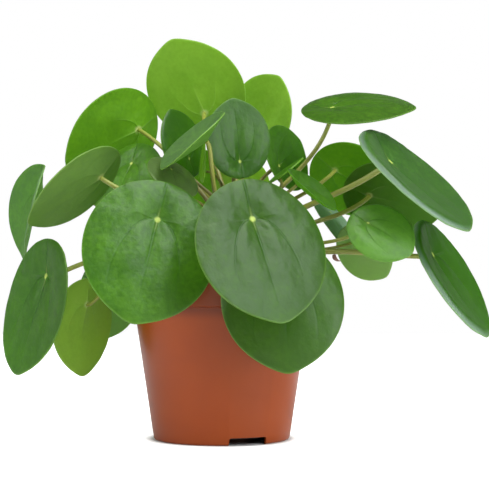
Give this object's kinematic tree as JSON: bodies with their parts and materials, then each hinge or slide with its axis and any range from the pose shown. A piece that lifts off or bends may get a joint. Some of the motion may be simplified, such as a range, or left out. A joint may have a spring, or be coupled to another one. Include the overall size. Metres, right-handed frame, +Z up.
{
  "type": "potted chinese money plant",
  "caption": "Bushy houseplant in a tapered plastic nursery pot: round, coin-like green leaves held off centre on long thin stalks that spread from one short woody stem.",
  "frame": {"origin": "middle of the pot's foot, on the surface the pot stands on", "axes": "+Z up along the pot's axis, -Y towards the front, where the two largest blades hang, +X to the right"},
  "size_m": [0.3122, 0.2176, 0.2601],
  "materials": {
    "terracotta_plastic": "satin",
    "potting_soil": "matte",
    "stalk_skin": "satin",
    "mature_blade": "satin",
    "young_blade": "satin",
    "dry_scale": "matte"
  },
  "bodies": {
    "root": {"dry_scale": "dry_scale", "leaf_back_left": "mature_blade", "leaf_back_low": "mature_blade", "leaf_back_right": "mature_blade", "leaf_back_top": "mature_blade", "leaf_behind_centre": "young_blade", "leaf_bud": "young_blade", "leaf_centre": "mature_blade", "leaf_far_left": "mature_blade", "leaf_far_right": "mature_blade", "leaf_folded": "mature_blade", "leaf_front_cupped": "mature_blade", "leaf_front_left": "mature_blade", "leaf_front_right": "mature_blade", "leaf_left_behind": "mature_blade", "leaf_left_inner": "mature_blade", "leaf_left_long": "mature_blade", "leaf_low_left": "mature_blade", "leaf_low_left_inner": "young_blade", "leaf_low_right": "mature_blade", "leaf_mid_left": "mature_blade", "leaf_mid_right": "mature_blade", "leaf_mid_shaded": "mature_blade", "leaf_right_back": "mature_blade", "leaf_right_big": "mature_blade", "leaf_right_bright": "mature_blade", "leaf_right_front": "mature_blade", "leaf_right_grey": "mature_blade", "leaf_right_under": "young_blade", "leaf_small_level": "mature_blade", "leaf_top": "young_blade", "leaf_top_right": "young_blade", "leaf_upper_left": "mature_blade", "leaf_upper_right": "mature_blade", "pot": "terracotta_plastic", "soil": "potting_soil", "stem": "stalk_skin"}
  },
  "joints": []
}
